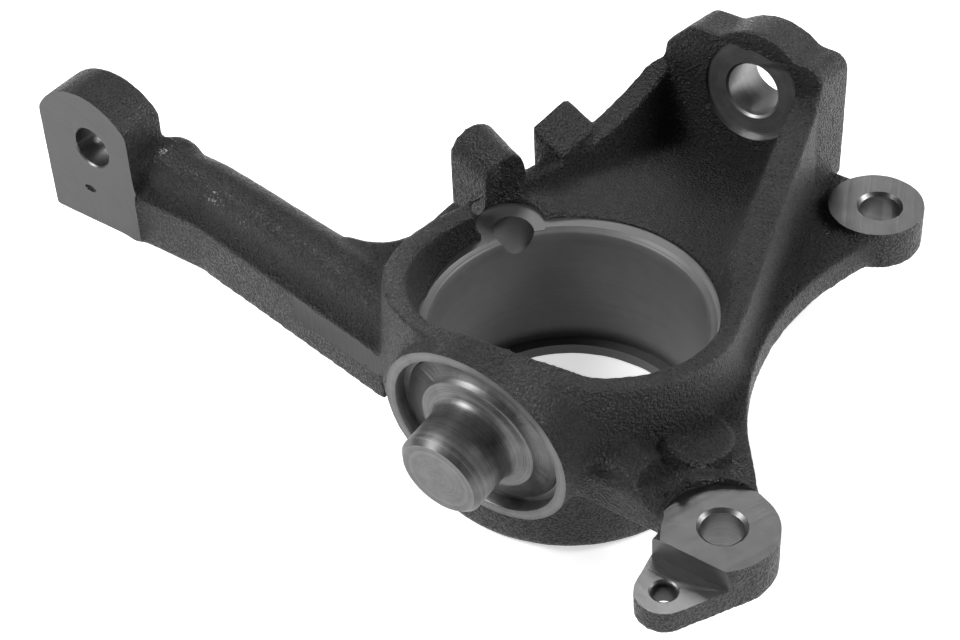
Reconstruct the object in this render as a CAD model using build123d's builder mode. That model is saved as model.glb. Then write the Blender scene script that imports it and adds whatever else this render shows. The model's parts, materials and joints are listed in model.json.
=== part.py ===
from build123d import *
import os
from math import cos, radians, sin

os.makedirs("parts", exist_ok=True)

# Steering knuckle, one casting with machined seats, millimetres.
# Origin: centre of the hub bore on the machined rim. +Z: hub bore axis, towards the rim.
# +Y: along the steering axis from the lower pin to the ball-joint tower. +X: caliper side.

# Hub barrel
bore_radius = 44.0
bore_depth = 47.5
lip_radius = 41.0
lip_thickness = 4.5
barrel_radius = 50.0
barrel_round = 5.0
relief_radius = 46.4
rim_radius = 46.5
rim_shift = (-1.5, 4.0)
rim_draft = 12.0

# Ring wall round the barrel and the web box behind it
ring_radius = 58.0
ring_shift = (-2.0, 0.0)
ring_draft = 4.0
ring_bottom = -17.0
crest_front_y = -62.0
crest_front = 31.5
crest_front_bend = (-24.0, 16.8)
crest_low_y = 20.0
crest_low = 9.2
crest_tower = 23.5
crest_left_y = 46.0
crest_left = 6.5
crest_left_bend = (90.0, 9.5)
crest_left_tower = 19.5
web_far = 114.0
web_left_near = -57.0
web_left_far = -41.0
web_right_near = 53.0
web_right_far = 24.5
web_near = 15.0
web_bottom = -19.0
web_draft = 1.0
web_corner = 8.0

# Pocket between the two side walls
floor_y = 50.0
floor_height = 1.0
floor_slope = 9.5
pocket_draft = 12.0
pocket_far = 109.0
pocket_left_near = (-47.4, 33.0)
pocket_left_far = -27.0
pocket_right_near = (36.9, 20.0)
pocket_right_far = 7.0
pocket_corner = 7.0

# Steering axis and lower pin
kingpin_x = 4.0
kingpin_height = 2.6
kingpin_tilt = 5.8
boss_radius = 32.9
boss_face = 55.7
boss_flare = 2.5
boss_root = 30.0
counterbore_radius = 29.3
counterbore_depth = 3.6
pin_radius = 14.4
pin_end = 74.1
pin_chamfer = 1.5
pin_seat_radius = 20.4
pin_seat_height = 2.6
pin_root_round = 2.5

# Ball-joint tower
tower_centre = (-2.5, 113.7, 17.5)
tower_lean = 6.0
tower_stock = 1.0
tower_back = 133.5
tower_bore_radius = 9.5
tower_boss_radius = 21.5
tower_spot_radius = 17.6
tower_left = 34.8
tower_right = 25.5
tower_bottom = 36.5
tower_shoulder = 16.0
tower_slope = 9.0
tower_corner = 5.5

# Caliper plate and its two lugs
plate_top = -4.5
plate_thickness = 10.5
plate_slope = 2.6
plate_arc_centre = (164.0, 60.0)
plate_arc_radius = 115.4
plate_right = 100.0
plate_left = 20.0
plate_overlap = 13.0
lug_face = -8.3
upper_lug = (49.0, 111.9)
upper_lug_shift = -1.3
upper_lug_radius = 16.0
lower_lug = (81.6, -41.1)
upper_lug_thickness = 14.8
lower_lug_thickness = 16.2
lower_lug_radius = 17.0
lug_bore_radius = 6.5
pad_centre = (58.5, -18.0)
pad_radius = 11.3
pad_height = 1.2
rib_near_x = 26.0
rib_near = (-35.5, 2.0)
rib_far_x = 66.0
rib_far = (-45.5, -6.0)
rib_outer_y = -46.5
rib_outer_top = -10.5
rib_inner = (-30.0, -6.0)
rib_bottom = -18.5

# Hose bracket seat below the lower lug
seat_hole = (77.4, -65.7)
seat_face = -15.6
seat_edge_y = -55.6
seat_radius = 8.8
seat_bore_radius = 3.5

# Steering arm
arm_eye = (-182.0, 5.0)
arm_eye_shift = (-1.0, -2.5)
arm_eye_radius = 23.3
arm_eye_thickness = 17.5
arm_face_y = -20.9
arm_bore_radius = 7.6
arm_inner_x = -164.5
arm_outer_x = -205.0
arm_bottom = -29.0
arm_straight_x = -138.0
arm_root_x = -46.0
arm_root_front = -37.5
arm_back = 1.0
arm_root_back = -12.0
arm_crest = 6.5
arm_back_edge = 0.0
arm_flange = 20.0
arm_groove = 4.5
arm_web_start = (-80.0, -8.5)
arm_web_bend = (-66.5, -3.0)
arm_web_end = (-62.0, 12.0)
arm_web_far = 24.0
arm_web_top = 5.0

# Wheel speed sensor bore and shield bosses
sensor_bore_radius = 6.6
sensor_angle = 146.2
sensor_distance = 47.6
sensor_lean = 33.0
sensor_boss_radius = 11.5
sensor_boss_length = 36.5
sensor_ear_radius = 12.3
sensor_ear_distance = 51.6
sensor_ear_height = 22.0
shield_boss_radius = 7.9
shield_boss_base = (-50.0, 38.0, 10.4)
shield_boss_angle = 160.0
shield_boss_length = 20.5
shield_boss_draft = 4.0
shield_foot = 20.0
shield_block_outer = -54.0
shield_block_width = 13.0
shield_block_near = 58.0
shield_block_far = 80.0
shield_block_bottom = -10.0
shield_block_top = 16.0
shield_block_inner_top = 9.0
shield_block_round = 3.0

barrel_bottom = -(bore_depth + lip_thickness)
seat_top = -boss_face + counterbore_depth - pin_seat_height
envelope = 60.0

kingpin_section = Plane(
    origin=(kingpin_x, 0, kingpin_height),
    x_dir=(1, 0, 0),
    z_dir=(0, -sin(radians(kingpin_tilt)), cos(radians(kingpin_tilt))),
)
kingpin_axis = Axis(kingpin_section.origin, kingpin_section.y_dir)
tower_face = Plane(
    origin=tower_centre,
    x_dir=(1, 0, 0),
    z_dir=(0, -cos(radians(tower_lean)), sin(radians(tower_lean))),
)
tower_cast_face = Plane(
    origin=(tower_centre[0], tower_centre[1] - tower_stock, tower_centre[2]),
    x_dir=(1, 0, 0),
    z_dir=(0, -cos(radians(floor_slope)), sin(radians(floor_slope))),
)
floor_plane = Plane(
    origin=(0, floor_y, floor_height),
    x_dir=(1, 0, 0),
    z_dir=(0, sin(radians(floor_slope)), cos(radians(floor_slope))),
)
plate_plane = Plane(
    origin=(0, lower_lug[1], plate_top),
    x_dir=(1, 0, 0),
    z_dir=(0, sin(radians(plate_slope)), cos(radians(plate_slope))),
)
ear_centre = (
    sensor_ear_distance * cos(radians(sensor_angle)),
    sensor_ear_distance * sin(radians(sensor_angle)),
)
sensor_plane = Plane(
    origin=(
        sensor_distance * cos(radians(sensor_angle)),
        sensor_distance * sin(radians(sensor_angle)),
        0,
    ),
    z_dir=(
        sin(radians(sensor_lean)) * cos(radians(sensor_angle)),
        sin(radians(sensor_lean)) * sin(radians(sensor_angle)),
        -cos(radians(sensor_lean)),
    ),
)

with BuildPart() as steering_knuckle:
    # Barrel round the bearing
    with BuildSketch(Plane.XY.offset(barrel_bottom)):
        Circle(barrel_radius)
    extrude(amount=-barrel_bottom)
    fillet(steering_knuckle.edges().group_by(Axis.Z)[0], barrel_round)

    # Ring wall and web box, trimmed from the side by the crest profile
    with BuildSketch(Plane.XY.offset(ring_bottom)):
        with Locations(ring_shift):
            Circle(ring_radius)
    extrude(amount=envelope, taper=ring_draft)
    with BuildSketch(Plane.XY.offset(web_bottom)):
        with BuildLine():
            Polyline(
                (web_left_near, web_near),
                (web_right_near, web_near),
                (web_right_far, web_far),
                (web_left_far, web_far),
                close=True,
            )
        web_outline = make_face()
        fillet(web_outline.vertices(), web_corner)
    extrude(amount=envelope, taper=web_draft)
    with BuildSketch(Plane.YZ):
        with BuildLine():
            ThreePointArc(
                (crest_front_y, crest_front), crest_front_bend, (crest_low_y, crest_low)
            )
            Polyline(
                (crest_low_y, crest_low),
                (web_far, crest_tower),
                (2 * envelope, 2 * envelope),
                (crest_front_y, 2 * envelope),
                (crest_front_y, crest_front),
            )
        make_face()
    extrude(amount=2 * envelope, both=True, mode=Mode.SUBTRACT)
    with BuildSketch(Plane.YZ):
        with BuildLine():
            Line((crest_low_y, crest_low), (crest_left_y, crest_left))
            ThreePointArc(
                (crest_left_y, crest_left), crest_left_bend, (web_far, crest_left_tower)
            )
            Polyline(
                (web_far, crest_left_tower),
                (web_far, envelope),
                (crest_low_y, envelope),
                (crest_low_y, crest_low),
            )
        make_face()
    extrude(amount=-2 * envelope, mode=Mode.SUBTRACT)

    # Pocket between the side walls, drafted from its sloping floor
    with BuildSketch(floor_plane):
        with BuildLine():
            Polyline(
                (pocket_left_near[0], pocket_left_near[1] - floor_y),
                (pocket_right_near[0], pocket_right_near[1] - floor_y),
                (pocket_right_far, pocket_far - floor_y),
                (pocket_left_far, pocket_far - floor_y),
                close=True,
            )
        pocket_outline = make_face()
        fillet(pocket_outline.vertices(), pocket_corner)
    extrude(amount=envelope, taper=-pocket_draft, mode=Mode.SUBTRACT)

    # Ball-joint tower closing the far end of the box
    with BuildSketch(tower_cast_face):
        with BuildLine():
            Polyline(
                (-tower_left, -tower_bottom),
                (tower_right, -tower_bottom),
                (tower_right, tower_shoulder),
                (-tower_left + tower_slope, tower_shoulder),
                (-tower_left, tower_shoulder - tower_slope),
                close=True,
            )
        tower_outline = make_face()
        fillet(tower_outline.vertices(), tower_corner)
        Circle(tower_boss_radius)
    extrude(amount=-envelope)
    with BuildSketch(Plane.XZ.offset(-tower_back)):
        Rectangle(4 * envelope, 4 * envelope)
    extrude(amount=-envelope, mode=Mode.SUBTRACT)

    # Caliper plate between the two lugs
    with BuildSketch(plate_plane):
        with BuildLine():
            Polyline(
                (0, 0),
                (lower_lug[0], 0),
                (plate_right, plate_overlap),
                (upper_lug[0] + plate_overlap, upper_lug[1] - lower_lug[1]),
                (upper_lug[0], upper_lug[1] - lower_lug[1] + plate_overlap),
                (plate_left, upper_lug[1] - lower_lug[1] + plate_overlap),
                close=True,
            )
        make_face()
        with Locations((plate_arc_centre[0], plate_arc_centre[1] - lower_lug[1])):
            Circle(plate_arc_radius, mode=Mode.SUBTRACT)
    extrude(amount=-plate_thickness)
    with BuildSketch(Plane.XY.offset(lug_face)):
        with Locations((upper_lug[0] + upper_lug_shift, upper_lug[1])):
            Circle(upper_lug_radius)
    extrude(amount=-upper_lug_thickness)
    with BuildSketch(Plane.XY.offset(lug_face)):
        with Locations(lower_lug):
            Circle(lower_lug_radius)
        with Locations(seat_hole):
            Circle(seat_radius)
        make_hull()
    extrude(amount=-lower_lug_thickness)

    # Lower pin boss, flaring back into the ring
    with BuildSketch(kingpin_section):
        with BuildLine():
            Polyline(
                (0, -boss_face),
                (boss_radius, -boss_face),
                (boss_radius + boss_flare, -boss_root),
                (0, -boss_root),
                close=True,
            )
        make_face()
    revolve(axis=kingpin_axis, revolution_arc=360)

    # Steering arm: eye plate, tapering beam and the web at its root
    with BuildSketch(Plane.XZ.offset(-arm_face_y)):
        with Locations((arm_eye[0] + arm_eye_shift[0], arm_eye[1] + arm_eye_shift[1])):
            Circle(arm_eye_radius)
        with BuildLine():
            Polyline(
                (arm_outer_x, arm_bottom),
                (arm_inner_x, arm_bottom),
                (arm_inner_x, arm_eye[1]),
                (arm_outer_x, arm_eye[1]),
                close=True,
            )
        make_face()
        with Locations(((arm_outer_x + arm_inner_x) / 2, 0)):
            Rectangle(arm_inner_x - arm_outer_x, 2 * envelope, mode=Mode.INTERSECT)
    extrude(amount=-arm_eye_thickness)
    for station_x, front, back in (
        (arm_inner_x, arm_face_y, arm_back),
        (arm_straight_x, arm_face_y, arm_back),
        (arm_root_x, arm_root_front, arm_root_back),
    ):
        with BuildSketch(Plane.YZ.offset(station_x)):
            with BuildLine():
                Polyline(
                    (front, arm_bottom + arm_flange),
                    (front, arm_bottom),
                    (back, arm_bottom),
                    (back, arm_back_edge),
                )
                ThreePointArc(
                    (back, arm_back_edge),
                    ((front + arm_groove + back) / 2, arm_crest),
                    (front + arm_groove, arm_bottom + arm_flange + arm_groove),
                )
                ThreePointArc(
                    (front + arm_groove, arm_bottom + arm_flange + arm_groove),
                    (front + 0.75 * arm_groove, arm_bottom + arm_flange + 0.4 * arm_groove),
                    (front, arm_bottom + arm_flange),
                )
            make_face()
    loft(ruled=True)
    with BuildSketch(Plane.XY.offset(web_bottom)):
        with BuildLine():
            ThreePointArc(arm_web_start, arm_web_bend, arm_web_end)
            Polyline(
                arm_web_end,
                (arm_web_end[0], arm_web_far),
                (arm_root_x, arm_web_far),
                (arm_root_x, arm_root_back),
                (arm_web_start[0], arm_root_back),
                arm_web_start,
            )
        make_face()
    extrude(amount=arm_web_top - web_bottom)

    # Rib from the pin boss to the lower lug, and the flat pad beside it
    for station_x, crest in ((rib_near_x, rib_near), (rib_far_x, rib_far)):
        with BuildSketch(Plane.YZ.offset(station_x)):
            with BuildLine():
                ThreePointArc((rib_outer_y, rib_outer_top), crest, rib_inner)
                Polyline(
                    rib_inner,
                    (rib_inner[0], rib_bottom),
                    (rib_outer_y, rib_bottom),
                    (rib_outer_y, rib_outer_top),
                )
            make_face()
    loft(ruled=True)
    with BuildSketch(plate_plane.offset(pad_height)):
        with Locations((pad_centre[0], pad_centre[1] - lower_lug[1])):
            Circle(pad_radius)
    extrude(amount=-plate_thickness)

    # Boss for the wheel speed sensor
    with BuildSketch(sensor_plane):
        Circle(sensor_boss_radius)
    extrude(amount=sensor_boss_length)

    # Bearing bore with the wider relief above its rim, and the lip
    with BuildSketch(Plane.XZ):
        with BuildLine():
            Polyline(
                (0, -bore_depth),
                (bore_radius, -bore_depth),
                (bore_radius, 0),
                (relief_radius, 0),
                (relief_radius, envelope),
                (0, envelope),
                close=True,
            )
        make_face()
    revolve(axis=Axis.Z, revolution_arc=360, mode=Mode.SUBTRACT)
    with BuildSketch(Plane.XY.offset(barrel_bottom)):
        Circle(lip_radius)
    extrude(amount=lip_thickness, mode=Mode.SUBTRACT)

    # Rim recess with the sensor ear
    with BuildSketch(Plane.XY):
        with Locations(rim_shift):
            Circle(rim_radius)
    extrude(amount=envelope, taper=-rim_draft, mode=Mode.SUBTRACT)
    with BuildSketch(Plane.XY):
        with Locations(ear_centre):
            Circle(sensor_ear_radius)
    extrude(amount=sensor_ear_height, mode=Mode.SUBTRACT)
    with BuildSketch(sensor_plane):
        Circle(sensor_bore_radius)
    extrude(amount=envelope, both=True, mode=Mode.SUBTRACT)

    # Shield bosses on the outer side
    with BuildSketch(
        Plane(
            origin=shield_boss_base,
            x_dir=(-sin(radians(shield_boss_angle)), cos(radians(shield_boss_angle)), 0),
            z_dir=(cos(radians(shield_boss_angle)), sin(radians(shield_boss_angle)), 0),
        )
    ):
        Circle(shield_boss_radius)
        with Locations((0, -shield_foot / 2)):
            Rectangle(2 * shield_boss_radius, shield_foot)
    extrude(amount=shield_boss_length, taper=-shield_boss_draft)
    with BuildSketch(Plane.XZ.offset(-shield_block_near)):
        with BuildLine():
            Polyline(
                (shield_block_outer, shield_block_bottom),
                (shield_block_outer, shield_block_top),
                (shield_block_outer + shield_block_width, shield_block_inner_top),
                (shield_block_outer + shield_block_width, shield_block_bottom),
                close=True,
            )
        block_outline = make_face()
        fillet(block_outline.vertices().sort_by(Axis.Z)[-1], shield_block_round)
    extrude(amount=shield_block_near - shield_block_far)
    fillet(
        steering_knuckle.edges(Select.LAST)
        .filter_by_position(Axis.Y, shield_block_far - 0.01, shield_block_far + 0.01)
        .sort_by(Axis.Z)[-1],
        shield_block_round,
    )

    # Counterbored seat and turned pin
    with BuildSketch(kingpin_section):
        with BuildLine():
            Polyline(
                (0, -envelope),
                (counterbore_radius, -envelope),
                (counterbore_radius, -boss_face + counterbore_depth),
                (0, -boss_face + counterbore_depth),
                close=True,
            )
        make_face()
    revolve(axis=kingpin_axis, revolution_arc=360, mode=Mode.SUBTRACT)
    with BuildSketch(kingpin_section):
        with BuildLine():
            Polyline(
                (0, -pin_end),
                (pin_radius - pin_chamfer, -pin_end),
                (pin_radius, -pin_end + pin_chamfer),
                (pin_radius, seat_top - pin_root_round),
                (pin_radius + pin_root_round, seat_top),
                (pin_seat_radius, seat_top),
                (pin_seat_radius, -boss_face + counterbore_depth),
                (0, -boss_face + counterbore_depth),
                close=True,
            )
        make_face()
    revolve(axis=kingpin_axis, revolution_arc=360)

    # Tower bore and spotface
    with BuildSketch(tower_face):
        Circle(tower_spot_radius)
    extrude(amount=envelope / 2, mode=Mode.SUBTRACT)
    with BuildSketch(tower_face):
        Circle(tower_bore_radius)
    extrude(amount=-envelope, mode=Mode.SUBTRACT)

    # Lug bores, bracket seat and arm bore
    with BuildSketch(Plane.XY.offset(lug_face)):
        with Locations(upper_lug, lower_lug):
            Circle(lug_bore_radius)
    extrude(amount=-envelope, mode=Mode.SUBTRACT)
    with BuildSketch(Plane.XY.offset(lug_face)):
        with Locations((upper_lug[0] + upper_lug_shift, upper_lug[1])):
            Circle(upper_lug_radius)
        with Locations(lower_lug):
            Circle(lower_lug_radius)
    extrude(amount=envelope / 2, mode=Mode.SUBTRACT)
    with BuildSketch(Plane.XY.offset(seat_face)):
        with Locations((seat_hole[0], seat_edge_y - envelope / 2)):
            Rectangle(envelope, envelope)
    extrude(amount=envelope, mode=Mode.SUBTRACT)
    with BuildSketch(Plane.XY.offset(seat_face)):
        with Locations(seat_hole):
            Circle(seat_bore_radius)
    extrude(amount=-envelope, mode=Mode.SUBTRACT)
    with BuildSketch(Plane.XZ.offset(-arm_face_y)):
        with Locations(arm_eye):
            Circle(arm_bore_radius)
    extrude(amount=-envelope, mode=Mode.SUBTRACT)

steering_knuckle.part.label = "steering_knuckle"
export_step(steering_knuckle.part, "parts/steering_knuckle.step")
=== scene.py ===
import json
import math

import bmesh
import bpy
from mathutils import Matrix, Vector


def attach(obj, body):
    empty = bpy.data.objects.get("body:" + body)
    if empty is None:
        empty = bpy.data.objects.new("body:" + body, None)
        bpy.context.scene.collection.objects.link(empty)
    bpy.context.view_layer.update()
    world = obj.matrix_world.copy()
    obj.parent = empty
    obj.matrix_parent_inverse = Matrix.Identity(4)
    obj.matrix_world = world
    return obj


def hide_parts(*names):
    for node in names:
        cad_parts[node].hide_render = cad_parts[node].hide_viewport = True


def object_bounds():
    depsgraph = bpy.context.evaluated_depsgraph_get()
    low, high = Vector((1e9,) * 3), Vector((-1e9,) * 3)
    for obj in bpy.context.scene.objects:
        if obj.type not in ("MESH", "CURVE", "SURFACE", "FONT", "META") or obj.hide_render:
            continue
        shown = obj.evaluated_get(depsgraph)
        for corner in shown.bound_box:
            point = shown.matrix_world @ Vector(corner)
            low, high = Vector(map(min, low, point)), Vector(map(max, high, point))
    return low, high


# Cast steering knuckle: the rough casting is rounded and skinned first, then machined, as the real one is.
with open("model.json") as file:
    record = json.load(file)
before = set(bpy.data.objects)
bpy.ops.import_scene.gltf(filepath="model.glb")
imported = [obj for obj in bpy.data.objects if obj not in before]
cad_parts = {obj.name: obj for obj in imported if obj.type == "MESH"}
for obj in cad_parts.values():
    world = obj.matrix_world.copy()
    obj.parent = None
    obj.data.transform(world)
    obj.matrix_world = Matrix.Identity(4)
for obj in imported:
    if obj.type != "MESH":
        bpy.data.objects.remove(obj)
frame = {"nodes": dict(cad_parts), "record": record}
cadLow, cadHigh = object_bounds()
mm = 0.001
up = Vector((0, 0, 1))
facing = {"down": -0.9, "flat": 0.7}  # limits on the height of a face's normal
mounts = {mount["name"]: mount for mount in frame["record"]["mounts"]}

bpy.context.scene.view_settings.view_transform = "Standard"
print("frame loaded")


def makeActive(piece):
    bpy.ops.object.select_all(action="DESELECT")
    piece.select_set(True)
    bpy.context.view_layer.objects.active = piece


def applyModifier(piece, kind, **values):
    makeActive(piece)
    modifier = piece.modifiers.new(kind.title(), kind)
    for key, value in values.items():
        setattr(modifier, key, value)
    bpy.ops.object.modifier_apply(modifier=modifier.name)


def combine(piece, tool, operation):
    applyModifier(
        piece, "BOOLEAN", operation=operation, solver="MANIFOLD", object=tool, material_mode="TRANSFER"
    )
    bpy.data.objects.remove(tool)


def mountPlace(name):
    mount = mounts[name]
    return Vector(mount["pos_m"]), Vector(mount["axis"]).normalized()


def turnedPlace(piece):
    return Matrix.Translation(piece["place"]) @ Matrix.Rotation(math.radians(piece["turn"]), 4, "Z")


# A cutter or a plug: a cylinder whose lower end is stepped down through (radius, height) pairs
def turnedTool(name, profile, point, way, finish, wallFinish=None, segments=128):
    (radius, top), (_, bottom) = profile[:2]
    bpy.ops.object.select_all(action="DESELECT")
    bpy.ops.mesh.primitive_cylinder_add(
        vertices=segments,
        radius=radius * mm,
        depth=(top - bottom) * mm,
        location=(0, 0, (top + bottom) / 2 * mm),
    )
    tool = bpy.context.object
    tool.name = name
    bpy.ops.object.transform_apply(location=True, rotation=True, scale=True)
    bpy.ops.object.mode_set(mode="EDIT")
    bpy.ops.mesh.select_mode(type="FACE")
    bpy.ops.mesh.select_all(action="DESELECT")
    cutter = bmesh.from_edit_mesh(tool.data)
    for face in cutter.faces:
        face.select_set(face.normal.z < facing["down"])
    bmesh.update_edit_mesh(tool.data)
    for nextRadius, height in profile[2:]:
        bpy.ops.mesh.extrude_region_move(TRANSFORM_OT_translate={"value": (0, 0, (height - bottom) * mm)})
        if nextRadius != radius:
            ratio = nextRadius / radius
            bpy.ops.transform.resize(value=(ratio, ratio, 1), center_override=(0, 0, height * mm))
        radius, bottom = nextRadius, height
    bpy.ops.object.mode_set(mode="OBJECT")
    tool.data.materials.append(finish)
    if wallFinish:
        tool.data.materials.append(wallFinish)
        for face in tool.data.polygons:
            face.material_index = int(abs(face.normal.z) < facing["flat"])
    turn = way.to_track_quat("Z", "Y").to_matrix().to_4x4()
    tool.data.transform(Matrix.Translation(point) @ turn)
    return tool


# The same, standing upright at a piece's x and y
def uprightTool(name, profile, piece, finish, wallFinish=None):
    return turnedTool(name, profile, Vector((piece["x"], piece["y"], 0)) * mm, up, finish, wallFinish)


def boxTool(name, low, high, finish, bevel=0, turn=None):
    bpy.ops.object.select_all(action="DESELECT")
    bpy.ops.mesh.primitive_cube_add(size=1, location=[(a + b) / 2 * mm for a, b in zip(low, high)])
    tool = bpy.context.object
    tool.name = name
    tool.scale = [(b - a) * mm for a, b in zip(low, high)]
    bpy.ops.object.transform_apply(location=True, rotation=True, scale=True)
    if bevel:
        applyModifier(tool, "BEVEL", width=bevel * mm, segments=3)
    tool.data.materials.append(finish)
    if turn:
        tool.data.transform(turn)
    return tool


def blobTool(name, centre, radii, finish):
    bpy.ops.object.select_all(action="DESELECT")
    bpy.ops.mesh.primitive_uv_sphere_add(
        segments=32, ring_count=16, radius=1, location=[c * mm for c in centre]
    )
    tool = bpy.context.object
    tool.name = name
    tool.scale = [radius * mm for radius in radii]
    bpy.ops.object.transform_apply(location=True, rotation=True, scale=True)
    tool.data.materials.append(finish)
    return tool


# Round posts wrapped in one skin, as the lower lug and its bracket seat are
def hullTool(name, posts, bottom, top, finish):
    parts = [
        turnedTool(name, [(radius, top), (radius, bottom)], Vector((x * mm, y * mm, 0)), up, finish)
        for x, y, radius in posts
    ]
    makeActive(parts[0])
    for part in parts:
        part.select_set(True)
    bpy.ops.object.join()
    bpy.ops.object.mode_set(mode="EDIT")
    bpy.ops.mesh.select_all(action="SELECT")
    bpy.ops.mesh.convex_hull()
    bpy.ops.object.mode_set(mode="OBJECT")
    return parts[0]


# Nodes: a socket takes either a link or a value
def feed(tree, socket, value):
    if isinstance(value, bpy.types.NodeSocket):
        tree.links.new(value, socket)
    else:
        socket.default_value = value


# Inputs are given by name, or as n0 and n1 where two share one
def addNode(tree, kind, settings=None, **sockets):
    node = tree.nodes.new("ShaderNode" + kind)
    for key, value in (settings or {}).items():
        setattr(node, key, value)
    for key, value in sockets.items():
        numbered = key[0] == "n" and key[1:].isdigit()
        feed(tree, node.inputs[int(key[1:]) if numbered else key], value)
    return node


def mathNode(tree, operation, first, second=0.0):
    return addNode(tree, "Math", {"operation": operation}, n0=first, n1=second).outputs[0]


def mapTo(tree, value, low, high, fromLow=0.0, fromHigh=1.0):
    node = addNode(tree, "MapRange", Value=value)
    for key, number in (("From Min", fromLow), ("From Max", fromHigh), ("To Min", low), ("To Max", high)):
        node.inputs[key].default_value = number
    return node.outputs["Result"]


def mixColour(tree, factor, dark, light):
    mix = tree.nodes.new("ShaderNodeMix")
    mix.data_type = "RGBA"
    tree.links.new(factor, mix.inputs[0])
    for socket, value in ((mix.inputs[6], dark), (mix.inputs[7], light)):
        if isinstance(value, tuple):
            value = (*value, 1)
        elif isinstance(value, float):
            value = (value, value, value, 1)
        feed(tree, socket, value)
    return mix.outputs[2]


def bumpNormal(tree, shader, height, strength, distance):
    bump = addNode(tree, "Bump", Height=height, Strength=strength, Distance=distance * mm)
    tree.links.new(bump.outputs["Normal"], shader.inputs["Normal"])


def newGroup(name, inputs, outputs):
    group = bpy.data.node_groups.new(name, "ShaderNodeTree")
    for label, kind, default in inputs:
        socket = group.interface.new_socket(label, in_out="INPUT", socket_type=kind)
        if default is not None:
            socket.default_value = default
    for label in outputs:
        group.interface.new_socket(label, in_out="OUTPUT", socket_type="NodeSocketFloat")
    return group, group.nodes.new("NodeGroupInput"), group.nodes.new("NodeGroupOutput")


# Pebbled sand-cast skin: rounded grains with finer grit on them, and slow changes of shade
grainShape = {"smoothness": 0.7, "pebbles": 0.8, "gritScale": 2.3, "patchScale": 70.0}
castGrain, given, result = newGroup(
    "castGrain",
    [
        ("Vector", "NodeSocketVector", None),
        ("Scale", "NodeSocketFloat", 900.0),
        ("Grit", "NodeSocketFloat", 0.4),
    ],
    ["Height", "Shade"],
)
spot, scale = given.outputs["Vector"], given.outputs["Scale"]
pebble = addNode(
    castGrain,
    "TexVoronoi",
    {"feature": "SMOOTH_F1"},
    Vector=spot,
    Scale=scale,
    Smoothness=grainShape["smoothness"],
)
swell = addNode(castGrain, "TexNoise", Vector=spot, Scale=scale, Detail=2.0)
finer = mathNode(castGrain, "MULTIPLY", scale, grainShape["gritScale"])
grit = addNode(castGrain, "TexNoise", Vector=spot, Scale=finer, Detail=3.0, Roughness=0.6)
slow = addNode(castGrain, "TexNoise", Vector=spot, Scale=grainShape["patchScale"], Detail=3.0)
rounded = mathNode(castGrain, "MULTIPLY", pebble.outputs["Distance"], grainShape["pebbles"])
raised = mathNode(castGrain, "SUBTRACT", swell.outputs["Fac"], rounded)
gritHeight = mathNode(castGrain, "MULTIPLY", grit.outputs["Fac"], given.outputs["Grit"])
height = mathNode(castGrain, "ADD", raised, gritHeight)
castGrain.links.new(height, result.inputs["Height"])
castGrain.links.new(slow.outputs["Fac"], result.inputs["Shade"])

# Turning marks: rings round the local Z axis on a face, and bands along it on a wall
ringShape = {"coarse": 0.35, "smear": 0.65, "smearScale": 160.0, "level": 0.5}
turningMarks, given, result = newGroup(
    "turningMarks",
    [
        ("Vector", "NodeSocketVector", None),
        ("Fine", "NodeSocketFloat", 5000.0),
        ("Coarse", "NodeSocketFloat", 500.0),
    ],
    ["Marks", "Height"],
)
spot = given.outputs["Vector"]
oneWay = {"noise_dimensions": "1D"}
split = addNode(turningMarks, "SeparateXYZ", Vector=spot)
flat = addNode(turningMarks, "CombineXYZ", X=split.outputs["X"], Y=split.outputs["Y"])
radius = addNode(turningMarks, "VectorMath", {"operation": "LENGTH"}, n0=flat.outputs[0]).outputs["Value"]
travel = mathNode(turningMarks, "ADD", radius, split.outputs["Z"])
fineRings = addNode(
    turningMarks, "TexNoise", oneWay, W=travel, Scale=given.outputs["Fine"], Detail=2.0, Roughness=0.6
)
coarseRings = addNode(turningMarks, "TexNoise", oneWay, W=travel, Scale=given.outputs["Coarse"], Detail=1.0)
smear = addNode(
    turningMarks, "TexNoise", Vector=spot, Scale=ringShape["smearScale"], Detail=4.0, Roughness=0.65
)
coarseShare = mathNode(turningMarks, "MULTIPLY", coarseRings.outputs["Fac"], ringShape["coarse"])
rings = mathNode(turningMarks, "ADD", fineRings.outputs["Fac"], coarseShare)
smearShare = mathNode(turningMarks, "MULTIPLY", smear.outputs["Fac"], ringShape["smear"])
worked = mathNode(turningMarks, "ADD", rings, smearShare)
marks = mathNode(turningMarks, "MULTIPLY", worked, ringShape["level"])
turningMarks.links.new(marks, result.inputs["Marks"])
turningMarks.links.new(rings, result.inputs["Height"])

# Places where the paint is worn through in specks
speckShape = {"near": 0.3, "from": 0.74, "to": 0.78}
wearSpecks, given, result = newGroup(
    "wearSpecks",
    [
        ("Vector", "NodeSocketVector", None),
        ("Centre", "NodeSocketVector", None),
        ("Reach", "NodeSocketFloat", 0.01),
        ("Scale", "NodeSocketFloat", 900.0),
    ],
    ["Mask"],
)
spot = given.outputs["Vector"]
away = addNode(wearSpecks, "VectorMath", {"operation": "DISTANCE"}, n0=spot, n1=given.outputs["Centre"])
share = mathNode(wearSpecks, "DIVIDE", away.outputs["Value"], given.outputs["Reach"])
near = mathNode(wearSpecks, "SUBTRACT", 1.0, share)
speck = addNode(wearSpecks, "TexNoise", Vector=spot, Scale=given.outputs["Scale"], Detail=2.0)
denser = mathNode(wearSpecks, "MULTIPLY", near, speckShape["near"])
level = mathNode(wearSpecks, "ADD", speck.outputs["Fac"], denser)
worn = mapTo(wearSpecks, level, 0, 1, speckShape["from"], speckShape["to"])
inside = mathNode(wearSpecks, "GREATER_THAN", near, 0.0)
wearSpecks.links.new(mathNode(wearSpecks, "MULTIPLY", worn, inside), result.inputs["Mask"])


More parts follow.
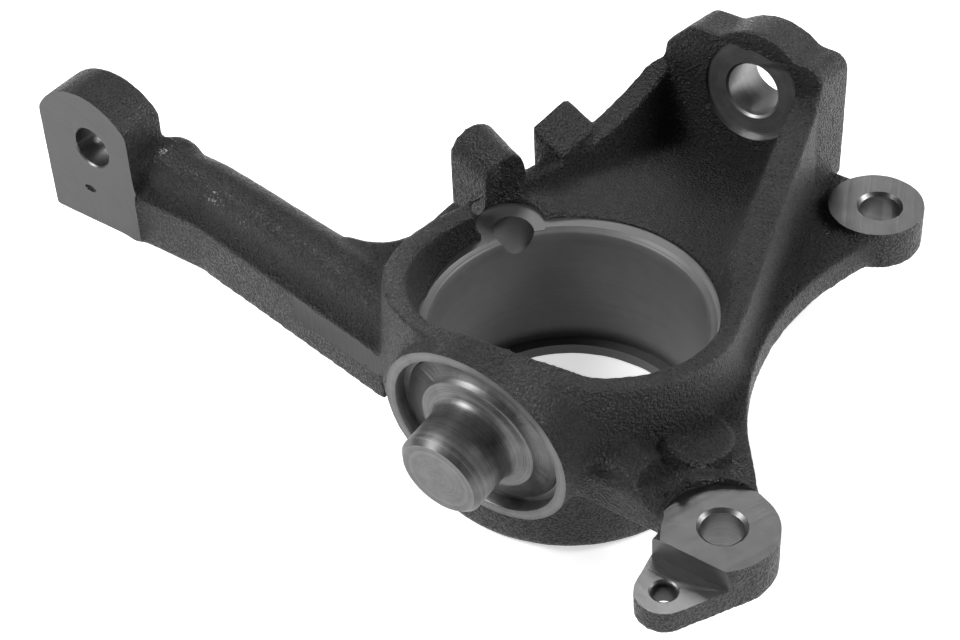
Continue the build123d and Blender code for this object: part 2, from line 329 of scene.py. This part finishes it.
# Materials
def newMaterial(name, **sockets):
    material = bpy.data.materials.new(name)
    material.use_nodes = True
    shader = material.node_tree.nodes["Principled BSDF"]
    for key, value in sockets.items():
        shader.inputs[key].default_value = value
    return material, material.node_tree, shader


def placeGroup(tree, group, **sockets):
    node = tree.nodes.new("ShaderNodeGroup")
    node.node_tree = group
    for key, value in sockets.items():
        feed(tree, node.inputs[key], value)
    return node


paint = {
    # dark is the colour in the grain's pits, painted shade there; light is the colour on the crests
    "dark": (0.001, 0.001, 0.0011),
    "light": (0.019, 0.019, 0.0192),
    "rough": (0.6, 0.27),  # in the pits, on the crests
    "specular": 0.6,
    "grain": 1150,
    "grit": 0.7,
    "pitShadeAndRoughness": (0.36, 0.62),
    "shadeFloor": 0.5,
    "patches": (0.3, 0.7),
    "bump": 1.0,
    "depth": 1.3,
    "wornColour": (0.42, 0.41, 0.4),
    "wornGrain": 1300.0,
    "wornPlaces": [((-131.5, -20, 5), 9), ((-118, -25, 4), 9), ((-158.6, -9.3, 6), 4)],
}
castPaint, tree, shader = newMaterial("castPaint")
shader.inputs["Specular IOR Level"].default_value = paint["specular"]
place = addNode(tree, "TexCoord").outputs["Object"]
grain = placeGroup(tree, castGrain, Vector=place, Scale=paint["grain"], Grit=paint["grit"])
mask = None
for centre, reach in paint["wornPlaces"]:
    centre = [c * mm for c in centre]
    specks = placeGroup(
        tree, wearSpecks, Vector=place, Centre=centre, Reach=reach * mm, Scale=paint["wornGrain"]
    ).outputs["Mask"]
    mask = mathNode(tree, "MAXIMUM", mask, specks) if mask else specks
# The grain's pits get the dark colour as painted shade in its hollows, with random patches of tone over it; the
# same pit mask also sets the roughness
pitShadeAndRoughness = mapTo(tree, grain.outputs["Height"], 0, 1, *paint["pitShadeAndRoughness"])
patches = mapTo(tree, grain.outputs["Shade"], paint["shadeFloor"], 1, *paint["patches"])
colour = mixColour(tree, mathNode(tree, "MULTIPLY", pitShadeAndRoughness, patches), paint["dark"], paint["light"])
tree.links.new(mixColour(tree, mask, colour, paint["wornColour"]), shader.inputs["Base Color"])
tree.links.new(mapTo(tree, pitShadeAndRoughness, *paint["rough"]), shader.inputs["Roughness"])
bumpNormal(tree, shader, grain.outputs["Height"], paint["bump"], paint["depth"])

# Ground patch on the arm, painted over: smooth, with upright streaks
ground = {
    "dark": 0.002,
    "light": 0.03,
    "rough": (0.36, 0.6),
    "across": 1300,
    "along": 30,
    "streaks": (0.35, 0.65),
    "gloss": (0.3, 0.7),
    "bump": 0.8,
    "depth": 0.2,
}
groundPaint, tree, shader = newMaterial("groundPaint")
place = addNode(tree, "TexCoord").outputs["Object"]
streak = addNode(tree, "Mapping", Vector=place, Scale=(ground["across"], ground["across"], ground["along"]))
lines = addNode(tree, "TexNoise", Vector=streak.outputs[0], Scale=1.0, Detail=3.0).outputs["Fac"]
streaks = mapTo(tree, lines, 0, 1, *ground["streaks"])
tree.links.new(mixColour(tree, streaks, ground["dark"], ground["light"]), shader.inputs["Base Color"])
tree.links.new(mapTo(tree, lines, *ground["rough"], *ground["gloss"]), shader.inputs["Roughness"])
bumpNormal(tree, shader, lines, ground["bump"], ground["depth"])

# Bare metals: one machined iron, given a different colour level on each face. These levels are painted light and
# shade: the tower face and bore, the pin and the hub wall are painted lighter, the rim and the lug faces darker.
# The rings of a face that was milled across run round a far centre, given in metres.
plainCut = {"rough": (0.3, 0.5), "bump": 0.25, "metallic": 0.9, "centre": (0, 0, 0)}
cutMarks = {"spread": (0.36, 0.64), "depth": 0.05}
ironsLitAndShaded = {
    "hubIron": {"colour": (0.095, 0.135), "rings": (2500, 260), "rough": (0.48, 0.58), "metallic": 0.4},
    "rimIron": {"colour": (0.05, 0.07), "rings": (3000, 400), "rough": (0.45, 0.55), "metallic": 0.4},
    # painted shade: the iron inside the sensor bore is coloured darker than the other faces
    "sensorShadedIron": {"colour": (0.03, 0.06), "rings": (2500, 400), "rough": (0.5, 0.6)},
    "pinIron": {
        "colour": (0.07, 0.21),
        "rings": (4500, 700),
        "rough": (0.34, 0.5),
        "bump": 0.4,
        "metallic": 0.75,
    },
    # painted light: the tower's spot face and bore face away from the lamps and are coloured lighter
    "towerLitIron": {"colour": (0.16, 0.32), "rings": (3200, 500), "rough": (0.32, 0.45), "bump": 0.3},
    "upperIron": {"colour": (0.04, 0.06), "rings": (2600, 500), "centre": (0.2, 0.1, 0)},
    "lowerIron": {"colour": (0.045, 0.068), "rings": (2600, 500), "centre": (0.25, -0.1, 0)},
    "boreIron": {"colour": (0.08, 0.17), "rings": (2600, 500), "rough": (0.3, 0.45)},
    "seatIron": {"colour": (0.1, 0.15), "rings": (2600, 500), "centre": (0.05, 0.2, 0)},
    "armIron": {
        "colour": (0.065, 0.1),
        "rings": (2200, 600),
        "rough": (0.34, 0.5),
        "centre": (-0.02, 0, -0.03),
    },
}


def machinedMaterial(name, point, way):
    iron = {**plainCut, **ironsLitAndShaded[name]}
    material, tree, shader = newMaterial(name, Metallic=iron["metallic"])
    place = addNode(tree, "TexCoord").outputs["Object"]
    centre = point + Vector(iron["centre"])
    turn = way.to_track_quat("Z", "Y").to_matrix().to_4x4().inverted() @ Matrix.Translation(-centre)
    centred = addNode(tree, "Mapping", Vector=place, Location=turn.to_translation(), Rotation=turn.to_euler())
    fine, coarse = iron["rings"]
    cut = placeGroup(tree, turningMarks, Vector=centred.outputs[0], Fine=fine, Coarse=coarse)
    spread = mapTo(tree, cut.outputs["Marks"], 0, 1, *cutMarks["spread"])
    tree.links.new(mixColour(tree, spread, *iron["colour"]), shader.inputs["Base Color"])
    tree.links.new(mapTo(tree, spread, *iron["rough"]), shader.inputs["Roughness"])
    bumpNormal(tree, shader, cut.outputs["Height"], iron["bump"], cutMarks["depth"])
    return material


hubPoint, hubWay = mountPlace("hub_bore")
pinPoint, pinWay = mountPlace("lower_pin")
towerPoint, towerWay = mountPlace("tower_bore")
armPoint, armWay = mountPlace("steering_arm_bore")
upperPoint, lugWay = mountPlace("caliper_bore_upper")
lowerPoint, _ = mountPlace("caliper_bore_lower")
threadPoint, threadWay = mountPlace("bracket_thread")
sensorPoint, sensorWay = mountPlace("sensor_bore")

hubIron = machinedMaterial("hubIron", hubPoint, hubWay)
rimIron = machinedMaterial("rimIron", hubPoint, hubWay)
sensorShadedIron = machinedMaterial("sensorShadedIron", sensorPoint, sensorWay)
pinIron = machinedMaterial("pinIron", pinPoint, pinWay)
towerLitIron = machinedMaterial("towerLitIron", towerPoint, towerWay)
upperIron = machinedMaterial("upperIron", upperPoint, lugWay)
lowerIron = machinedMaterial("lowerIron", lowerPoint, lugWay)
boreIron = machinedMaterial("boreIron", lowerPoint, lugWay)
seatIron = machinedMaterial("seatIron", threadPoint, threadWay)
armIron = machinedMaterial("armIron", armPoint, armWay)
print("materials made")

# Rough casting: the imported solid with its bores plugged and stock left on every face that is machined
casting = {
    "weld": 0.02,
    "voxel": 1.15,
    "smoothing": 0.5,
    "soften": 9,
    "hollowSoften": 24,
    "hollowStep": 0.4,
    "wave": 0.32,
    "waveSize": 7,
    "waveMiddle": 0.85,
    "stock": 3.0,
    "sharpAngle": 32,
}
source = frame["nodes"]["steering_knuckle"]
knuckle = source.copy()
knuckle.data = source.data.copy()
knuckle.name = "machinedCasting"
knuckle.parent = None
for key in list(knuckle.keys()):  # the copy keeps none of the CAD node's marks
    del knuckle[key]
bpy.context.scene.collection.objects.link(knuckle)
knuckle.data.materials.clear()
knuckle.data.materials.append(castPaint)
applyModifier(knuckle, "WELD", merge_threshold=casting["weld"] * mm)

# Pieces, in mm, but "place" and "plugShift" are in metres. A profile is (radius, height) pairs from its top down.
hub = {
    "plug": [(46, 1.6), (46, -51.2)],
    "plugShift": (-0.001, 0.0025, 0),
    "mouth": [(46.4, 60), (46.4, 0.0), (45.3, 0.0), (45.2, -0.35), (44.9, -0.4), (44, -1.3)],
    "radius": 44,
    "wallTop": -1.25,
    "wallStep": 5.6,
    "wallRings": 7,
    "foot": [(44, -46.2), (44.5, -46.5), (44.5, -47.5), (41, -47.5), (41, -60)],
    "segments": 256,
}
rim = {"x": -1.5, "y": 4.0, "profile": [(51.2, 22.0), (51.2, 21.99), (46.5, 0)]}
ear = {"x": -42.3, "y": 28.5, "stock": [(11, 1.6), (11, -3)], "cut": [(11.5, 22), (11.5, 0)]}
sensor = {"plug": [(8, 18), (8, -17.5)], "cut": [(6.6, 30), (6.6, -30)], "segments": 64}
tower = {
    "plug": [(11, 8.6), (11, -14)],
    "lean": 9.5,
    "castPoint": (-2.5, 112.7, 17.5),
    "stock": [(18.4, 0), (18.4, -5)],
    "facePoint": (-2.5, 113.7, 17.5),
    "spot": [(17.6, 30), (17.6, 0)],
    "bore": [(10.3, 0.02), (10.3, 0), (9.5, -0.8), (9.5, -19.2), (10.3, -20), (10.3, -30)],
}
eye = {
    "x": -184.3,
    "z": 3.2,
    "stock": [(23.1, 24), (23.1, 4)],
    "limit": [(-205.0, -40, -40), (-164.5, 0, 40)],
    "foot": [(-205.0, -24, -29.0), (-164.5, -12, 5)],
    "plug": [(9, 11.5), (9, -8.2)],
    "shoulder": [(-157, -3.6, 2.4), (9, 5.4, 5)],
    "lump": [(-168.5, -17.5, -28.2), (4.5, 4, 3.6)],
    "face": [(-225, -50, -50), (-163.9, -20.9, 50)],
    "bore": [(8.1, 30), (8.1, 8.75), (7.6, 8.25), (7.6, -8.2), (8.1, -8.7), (8.1, -30)],
    "divot": [(-186.2, -20.9, -14.3), (2.6, 0.7, 1.3)],
}
upperLug = {
    "x": 47.7,
    "y": 111.9,
    "radius": 16.0,
    "face": -8.3,
    "bottom": -22,
    "faceCut": [(17.6, 20), (17.6, -8.3)],
    "bore": [(7.65, 20), (7.65, 7.4), (6.5, 6.3), (6.5, -6.4), (7.2, -7.1), (7.2, -20)],
}
lowerLug = {
    "x": 81.6,
    "y": -41.1,
    "radius": 17.0,
    "face": -8.3,
    "bottom": -23,
    "slope": [(27, 12), (27, 3.6), (18.2, -1.6)],
    "slopeCore": [(17.4, 20), (17.4, -5)],
    "slopeLimit": [(30, -32, -30), (70, 10, 30)],
    "faceCut": [(19, 20), (19, 0)],
    "faceShift": (1.41, -1.41, 0),
    "flat": [(62, -57, -8.3), (104, -47, 10)],
    "bore": [(7.65, 20), (7.65, 8.1), (6.5, 7.0), (6.5, -7.1), (7.2, -7.8), (7.2, -20)],
}
seat = {"x": 77.4, "y": -65.7, "radius": 8.8, "face": [(55, -95, -15.6), (110, -55.6, 10)]}
pin = {
    "stock": [(16.6, 12), (16.6, -7), (32.9, -7), (33.2, -20)],
    "counterbore": [
        (38, 22), (38, -9.2), (29.5, -9.2), (29.3, -9.5), (29.3, -13.7), (27.4, -13.7), (27.0, -12.8), (5, -12.8),
    ],
    "radius": 14.4,
    "end": 9.19,
    "endStep": 0.01,
    "chamfer": 1.5,
    "root": [
        (14.4, -2.5), (14.4, -5.6), (14.74, -7.4), (15.7, -8.88), (17.2, -9.86), (18.9, -10.2), (20.0, -10.2),
        (20.4, -10.6), (20.4, -13.0),
    ],
    "segments": 192,
}

castLean = math.radians(tower["lean"])
eyeStock = turnedTool("eyeStock", eye["stock"], Vector((eye["x"], 0, eye["z"])) * mm, armWay, castPaint)
combine(eyeStock, boxTool("eyeLimit", *eye["limit"], castPaint), "INTERSECT")
stock = [
    turnedTool("hubPlug", hub["plug"], hubPoint + Vector(hub["plugShift"]), hubWay, castPaint),
    uprightTool("earStock", ear["stock"], ear, castPaint),
    turnedTool("sensorPlug", sensor["plug"], sensorPoint, sensorWay, castPaint),
    turnedTool("pinStock", pin["stock"], pinPoint, pinWay, castPaint),
    turnedTool("towerPlug", tower["plug"], towerPoint, towerWay, castPaint),
    turnedTool(
        "towerStock",
        tower["stock"],
        Vector(tower["castPoint"]) * mm,
        Vector((0, -math.cos(castLean), math.sin(castLean))),
        castPaint,
    ),
    turnedTool("armPlug", eye["plug"], armPoint, armWay, castPaint),
    eyeStock,
    blobTool("beamShoulder", *eye["shoulder"], castPaint),
    blobTool("eyeLump", *eye["lump"], castPaint),
    boxTool("eyeFootStock", *eye["foot"], castPaint),
    uprightTool(
        "upperStock",
        [(upperLug["radius"], height) for height in (upperLug["face"] + casting["stock"], upperLug["bottom"])],
        upperLug,
        castPaint,
    ),
    hullTool(
        "lowerStock",
        [(post["x"], post["y"], post["radius"]) for post in (lowerLug, seat)],
        lowerLug["bottom"],
        lowerLug["face"] + casting["stock"],
        castPaint,
    ),
]
makeActive(knuckle)
for plug in stock:
    plug.select_set(True)
bpy.ops.object.join()


def remesh(piece):
    makeActive(piece)
    piece.data.remesh_voxel_size = casting["voxel"] * mm
    bpy.ops.object.voxel_remesh()


remesh(knuckle)
print("remeshed", len(knuckle.data.polygons))

# Hollows that belong to the casting and not to the cutting: under the arm's beam, and round the pad
beam = {"relief": [(-26, -10, -40), (0, 0, 20)], "place": (-0.138, -0.0209, 0), "turn": 2.2}
moat = {"x": 58.5, "y": -18, "z": -3.9, "ring": 13.2, "ball": 2.9, "from": -104, "to": -12, "balls": 6}
hollows = [boxTool("beamRelief", *beam["relief"], castPaint, turn=turnedPlace(beam))]
for step in range(moat["balls"]):
    angle = math.radians(moat["from"] + (moat["to"] - moat["from"]) * step / (moat["balls"] - 1))
    centre = (
        moat["x"] + moat["ring"] * math.cos(angle),
        moat["y"] + moat["ring"] * math.sin(angle),
        moat["z"],
    )
    hollows.append(blobTool("padMoat", centre, (moat["ball"],) * 3, castPaint))

# The plate slopes down to the lower lug's face
lowerFace = Vector((lowerLug["x"], lowerLug["y"], lowerLug["face"])) * mm
lugSlope = turnedTool("lugSlope", lowerLug["slope"], lowerFace, up, castPaint)
combine(lugSlope, turnedTool("lugCore", lowerLug["slopeCore"], lowerFace, up, castPaint), "DIFFERENCE")
combine(lugSlope, boxTool("lugKeep", *lowerLug["slopeLimit"], castPaint), "DIFFERENCE")
hollows.append(lugSlope)
for hollow in hollows:
    combine(knuckle, hollow, "DIFFERENCE")
remesh(knuckle)
print("hollowed", len(knuckle.data.polygons))

applyModifier(knuckle, "SMOOTH", factor=casting["smoothing"], iterations=casting["soften"])


# Inner corners of a casting are rounder than its outer ones, so only what fills them is softened again
def markHollows(piece):
    trial = piece.copy()
    trial.data = piece.data.copy()
    bpy.context.scene.collection.objects.link(trial)
    applyModifier(trial, "SMOOTH", factor=casting["smoothing"], iterations=casting["hollowSoften"])
    group = piece.vertex_groups.new(name="hollows")
    for before, after in zip(piece.data.vertices, trial.data.vertices):
        rise = (after.co - before.co).dot(before.normal) / (casting["hollowStep"] * mm)
        if rise > 0:
            group.add([before.index], min(rise, 1.0), "REPLACE")
    bpy.data.objects.remove(trial)


markHollows(knuckle)
applyModifier(
    knuckle,
    "SMOOTH",
    factor=casting["smoothing"],
    iterations=casting["hollowSoften"],
    vertex_group="hollows",
)
knuckle.vertex_groups.clear()

# A low wave over the whole skin, as sand moulding leaves it
waveTexture = bpy.data.textures.new("castWave", "CLOUDS")
waveTexture.noise_scale = casting["waveSize"] * mm
applyModifier(
    knuckle,
    "DISPLACE",
    strength=casting["wave"] * mm,
    mid_level=casting["waveMiddle"],
    texture=waveTexture,
    texture_coords="LOCAL",
)
knuckle.data.materials.clear()
knuckle.data.materials.append(castPaint)
for face in knuckle.data.polygons:
    face.material_index = 0
print("casting skinned")

# The flat pad keeps a crisper edge than the skin round it
pad = {
    "point": (58.5, -18, -5.5),
    "tilt": 2.6,
    "profile": [(9.8, 2.3), (9.8, 2.29), (10.7, 2.05), (11.2, 1.5), (11.4, 0.6), (11.9, -4)],
}
padTilt = math.radians(pad["tilt"])
padWay = Vector((0, math.sin(padTilt), math.cos(padTilt)))
padDisc = turnedTool("padDisc", pad["profile"], Vector(pad["point"]) * mm, padWay, castPaint)
combine(knuckle, padDisc, "UNION")

# Pin and its counterbored seat are turned together: the cutter is a blank with the pin left out of it
pinCutter = turnedTool("pinCutter", pin["counterbore"], pinPoint, pinWay, pinIron, segments=pin["segments"])
pinEnd = [
    (pin["radius"] - pin["chamfer"], pin["end"]),
    (pin["radius"] - pin["chamfer"], pin["end"] - pin["endStep"]),
    (pin["radius"], pin["end"] - pin["chamfer"]),
]
pinCore = turnedTool("pinCore", pinEnd + pin["root"], pinPoint, pinWay, pinIron, segments=pin["segments"])
combine(pinCutter, pinCore, "DIFFERENCE")

# The bracket thread is cut as ring grooves at its pitch
thread = {
    "pitch": 1.25,
    "turns": 8,
    "start": 4.0,
    "minor": 3.3,
    "major": 4.0,
    "mouth": [(5.2, 9), (5.2, 5.0), (4.45, 4.46), (4.0, 4.0)],
    "tail": (3.4, -14),
    "segments": 64,
}
threadProfile = list(thread["mouth"])
for turnIndex in range(thread["turns"]):
    crest = thread["start"] - (turnIndex + 0.5) * thread["pitch"]
    threadProfile += [(thread["minor"], crest), (thread["major"], crest - thread["pitch"] / 2)]
threadProfile.append(thread["tail"])
threadTool = turnedTool(
    "bracketThread", threadProfile, threadPoint, threadWay, seatIron, segments=thread["segments"]
)

# Machining. The bore's long wall is stepped in rings, so that it shades evenly.
patch = {
    "box": [(-23.5, -12, -21), (23.5, 0.2, -5.6)],
    "bevel": 1.5,
    "place": (-0.0665, -0.0338, 0),
    "turn": -10.23,
}
hubWall = [
    (hub["radius"], hub["wallTop"] - step * hub["wallStep"]) for step in range(1, hub["wallRings"] + 1)
]
hubProfile = hub["mouth"] + hubWall + hub["foot"]
towerFace = Vector(tower["facePoint"]) * mm
lowerCutPoint = lowerFace + Vector(lowerLug["faceShift"]) * mm
tools = [
    uprightTool("rimCutter", rim["profile"], rim, rimIron, castPaint),
    uprightTool("earCutter", ear["cut"], ear, rimIron, castPaint),
    turnedTool(
        "sensorCutter", sensor["cut"], sensorPoint, sensorWay, sensorShadedIron, segments=sensor["segments"]
    ),
    turnedTool("hubCutter", hubProfile, hubPoint, hubWay, hubIron, segments=hub["segments"]),
    pinCutter,
    turnedTool("towerSpot", tower["spot"], towerFace, -towerWay, towerLitIron),
    turnedTool("towerCutter", tower["bore"], towerFace, -towerWay, towerLitIron),
    uprightTool("upperFace", upperLug["faceCut"], upperLug, upperIron),
    turnedTool("lowerFace", lowerLug["faceCut"], lowerCutPoint, up, lowerIron, castPaint),
    boxTool("lowerFlat", *lowerLug["flat"], lowerIron),
    boxTool("seatFace", *seat["face"], seatIron),
    turnedTool("upperBore", upperLug["bore"], upperPoint, lugWay, boreIron),
    turnedTool("lowerBore", lowerLug["bore"], lowerPoint, lugWay, boreIron),
    threadTool,
    boxTool("eyeFace", *eye["face"], armIron),
    turnedTool("armCutter", eye["bore"], armPoint, armWay, boreIron),
    blobTool("eyeDivot", *eye["divot"], castPaint),
    boxTool("groundPatch", *patch["box"], groundPaint, bevel=patch["bevel"], turn=turnedPlace(patch)),
]
for tool in tools:
    toolName = tool.name
    combine(knuckle, tool, "DIFFERENCE")
    print("machined", toolName, len(knuckle.data.polygons))
makeActive(knuckle)
bpy.ops.object.shade_smooth_by_angle(angle=math.radians(casting["sharpAngle"]))

# A cutter leaves a crisp edge even where it runs out at a shallow angle
skin = bmesh.new()
skin.from_mesh(knuckle.data)
for edge in skin.edges:
    if len({face.material_index for face in edge.link_faces}) > 1:
        edge.smooth = False
skin.to_mesh(knuckle.data)
skin.free()
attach(knuckle, "root")
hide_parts("steering_knuckle")
print("triangles", sum(len(face.vertices) - 2 for face in knuckle.data.polygons))

# Stage, light and camera
stage = {"floorSize": 6, "floorColour": 0.85, "floorRough": 0.9, "glow": 0.6, "fill": 0.12}


# The floor is white for rays that see it as a picture, straight or in a reflection
def seenRays(tree):
    lightPath = addNode(tree, "LightPath")
    seen = mathNode(tree, "MAXIMUM", lightPath.outputs["Is Camera Ray"], lightPath.outputs["Is Glossy Ray"])
    return mathNode(tree, "MAXIMUM", seen, lightPath.outputs["Is Transmission Ray"])


bpy.ops.object.select_all(action="DESELECT")
bpy.ops.mesh.primitive_plane_add(size=stage["floorSize"], location=(0, 0, cadLow.z))
floor = bpy.context.object
floor.name = "floor"
floorWhite, tree, shader = newMaterial("floorWhite", Roughness=stage["floorRough"])
shader.inputs["Base Color"].default_value = (stage["floorColour"],) * 3 + (1,)
shader.inputs["Emission Color"].default_value = (1, 1, 1, 1)
tree.links.new(mathNode(tree, "MULTIPLY", seenRays(tree), stage["glow"]), shader.inputs["Emission Strength"])
floor.data.materials.append(floorWhite)

world = bpy.data.worlds.new("studio")
bpy.context.scene.world = world
world.use_nodes = True
background = world.node_tree.nodes["Background"]
background.inputs["Color"].default_value = (1, 1, 1, 1)
background.inputs["Strength"].default_value = stage["fill"]

# Places in metres, and each lamp faces the origin
lamps = [
    {"name": "leftLight", "place": (-0.6, -0.6, 0.75), "size": 0.34, "watts": 12.5},
    {"name": "rightLight", "place": (0.8, 0.55, 0.6), "size": 0.34, "watts": 11},
    {"name": "backLight", "place": (-0.45, 0.75, 0.75), "size": 0.45, "watts": 7},
]
for lamp in lamps:
    light = bpy.data.lights.new(lamp["name"], "AREA")
    light.size = lamp["size"]
    light.energy = lamp["watts"]
    holder = bpy.data.objects.new(lamp["name"], light)
    holder.location = lamp["place"]
    holder.rotation_euler = Vector(lamp["place"]).to_track_quat("Z", "Y").to_euler()
    bpy.context.scene.collection.objects.link(holder)

# Lengths in mm and angles in degrees
view = {
    "target": (-22.3395, -15.8667, 1.3431),
    "distance": 727.9118,
    "azimuth": 37.8983,
    "elevation": 41.8163,
    "roll": -3.0382,
    "lens": 87.6225,
    "sensor": 36,
}
cameraData = bpy.data.cameras.new("photoCamera")
cameraData.lens = view["lens"]
cameraData.sensor_width = view["sensor"]
cameraObject = bpy.data.objects.new("photoCamera", cameraData)
turn = (
    Matrix.Rotation(math.radians(view["azimuth"]), 4, "Z")
    @ Matrix.Rotation(math.radians(90 - view["elevation"]), 4, "X")
    @ Matrix.Rotation(math.radians(view["roll"]), 4, "Z")
)
back = turn.to_3x3() @ up
place = (Vector(view["target"]) + back * view["distance"]) * mm
cameraObject.matrix_world = Matrix.Translation(place) @ turn
bpy.context.scene.collection.objects.link(cameraObject)
bpy.context.scene.camera = cameraObject
print("stage, light and camera set")
